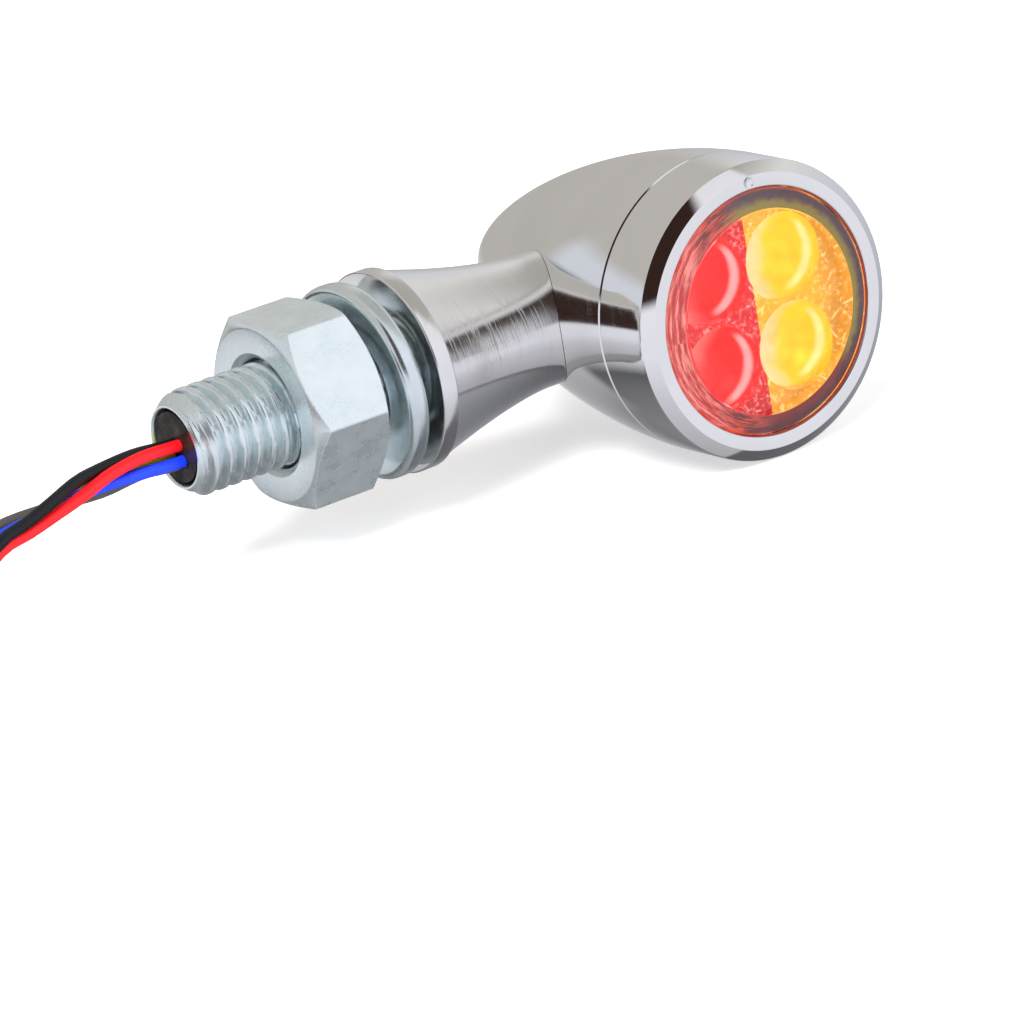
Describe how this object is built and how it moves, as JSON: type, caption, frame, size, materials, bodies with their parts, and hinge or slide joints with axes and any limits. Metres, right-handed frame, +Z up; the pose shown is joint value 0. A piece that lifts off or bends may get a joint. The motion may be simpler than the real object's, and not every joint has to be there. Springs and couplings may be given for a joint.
{
  "type": "turn signal indicator",
  "caption": "Bullet-shaped chrome motorcycle turn signal on a flared stalk, with a smoked lens over red and amber lights, a hollow threaded stud, spring washer, hex nut and wire leads.",
  "frame": {"origin": "centre of the flat seating face on the stalk's flange, on the stud's axis", "axes": "the hollow stud points along -X and the stalk and lamp lie on +X; the lamp's axis is parallel to Y with the lens facing -Y; +Z up"},
  "size_m": [0.1349, 0.0622, 0.0283],
  "materials": {
    "chrome": "mirror-bright chrome plating",
    "chrome_stalk": "mirror-bright chrome plating with faint turning marks",
    "smoked_lens": "smoked clear polycarbonate, polished",
    "gasket_rubber": "matt black rubber",
    "reflector_mirror": "vacuum-metallised plastic",
    "divider_black": "satin black",
    "board_green": "green solder mask",
    "led_red": "glossy red light-emitting diode, lit",
    "led_amber": "glossy amber light-emitting diode, lit",
    "zinc_thread": "bright zinc plating with a blue tint",
    "zinc_washer": "bright zinc plating with a blue tint",
    "zinc_nut": "satin zinc plating with a blue tint",
    "potting_black": "black potting resin",
    "tie_black": "satin black",
    "tinned_copper": "tinned copper strands",
    "wire_red": "glossy soft PVC insulation",
    "wire_black": "glossy soft PVC insulation",
    "wire_yellow": "glossy soft PVC insulation",
    "wire_grey": "glossy soft PVC insulation",
    "wire_blue": "glossy soft PVC insulation"
  },
  "bodies": {
    "lamp": {"housing": "chrome", "bezel_ring": "chrome", "lens": "smoked_lens", "lens_gasket": "gasket_rubber", "reflector": "reflector_mirror", "light_divider": "divider_black", "circuit_board": "board_green", "led_red_upper": "led_red", "led_red_lower": "led_red", "led_amber_upper": "led_amber", "led_amber_lower": "led_amber", "stalk": "chrome_stalk", "threaded_stud": "zinc_thread", "potting_plug": "potting_black", "wire_coil": "wire_black", "coil_tie": "tie_black", "wire_red": "wire_red", "wire_black": "wire_black", "wire_yellow": "wire_yellow", "wire_grey": "wire_grey", "wire_blue": "wire_blue", "wire_tip_red": "tinned_copper", "wire_tip_black": "tinned_copper", "wire_tip_yellow": "tinned_copper", "wire_tip_grey": "tinned_copper", "wire_tip_blue": "tinned_copper"},
    "washer": {"spring_washer": "zinc_washer"},
    "nut": {"hex_nut": "zinc_nut"}
  },
  "joints": [
    {"name": "nut_travel", "type": "slide", "parent": "lamp", "child": "washer", "axis": [-1, 0, 0], "range_m": [0, 0.009]},
    {"name": "nut_turn", "type": "hinge", "parent": "washer", "child": "nut", "pos_m": [0, 0, 0], "axis": [-1, 0, 0], "range_deg": [0, 2160]}
  ],
  "couplings": [
    {"joint": "nut_turn", "follows": "nut_travel", "rad_per_m": 4188.8}
  ]
}
